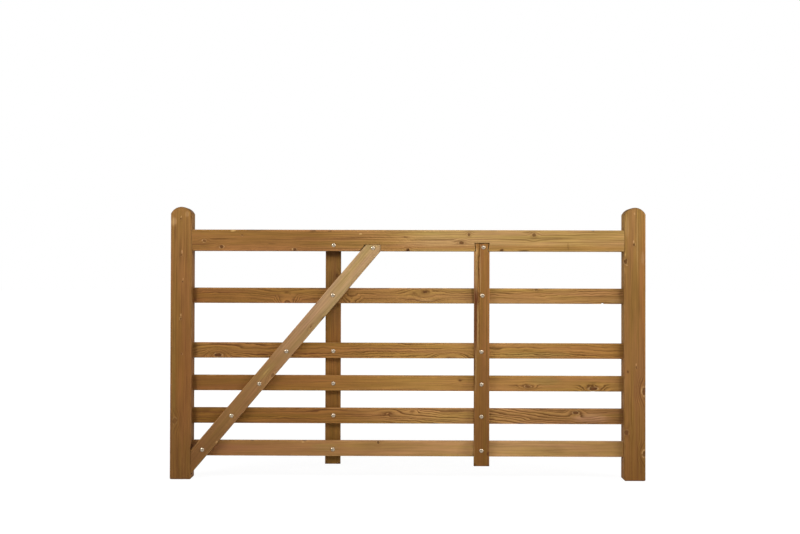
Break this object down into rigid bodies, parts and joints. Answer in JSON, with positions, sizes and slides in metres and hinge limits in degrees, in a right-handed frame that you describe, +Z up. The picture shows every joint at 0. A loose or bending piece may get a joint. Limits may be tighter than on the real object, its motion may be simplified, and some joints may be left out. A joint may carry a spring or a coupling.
{
  "type": "wooden farm gate leaf",
  "caption": "Wooden farm gate leaf with round-topped stiles, a deep top rail, thin rails, two uprights and a bolted diagonal brace.",
  "frame": {"origin": "middle of the flat outer face of the hanging stile, which is the face that a gate post carries; the feet are 597 mm below it", "axes": "+X along the leaf from the hanging stile to the closing stile, -Y towards the front, where the brace is, +Z up"},
  "size_m": [2.134, 0.07, 1.2249],
  "materials": {
    "hanging_stile_wood": "planed softwood, brown preservative stain, matt",
    "closing_stile_wood": "planed softwood, brown preservative stain, matt",
    "top_rail_wood": "planed softwood, pale brown preservative stain, matt",
    "rail_wood": "planed softwood, brown preservative stain, matt",
    "bottom_rail_wood": "planed softwood, pale brown preservative stain, matt",
    "back_upright_wood": "planed softwood, dark brown preservative stain, matt",
    "front_upright_wood": "planed softwood, brown preservative stain, matt",
    "brace_wood": "planed softwood, faded brown preservative stain, matt",
    "bolt_zinc": "bright zinc plating"
  },
  "bodies": {
    "root": {"hanging_stile": "hanging_stile_wood", "closing_stile": "closing_stile_wood", "top_rail": "top_rail_wood", "fifth_rail": "rail_wood", "fourth_rail": "rail_wood", "third_rail": "rail_wood", "second_rail": "rail_wood", "bottom_rail": "bottom_rail_wood", "back_upright": "back_upright_wood", "front_upright": "front_upright_wood", "brace": "brace_wood"}
  },
  "joints": []
}
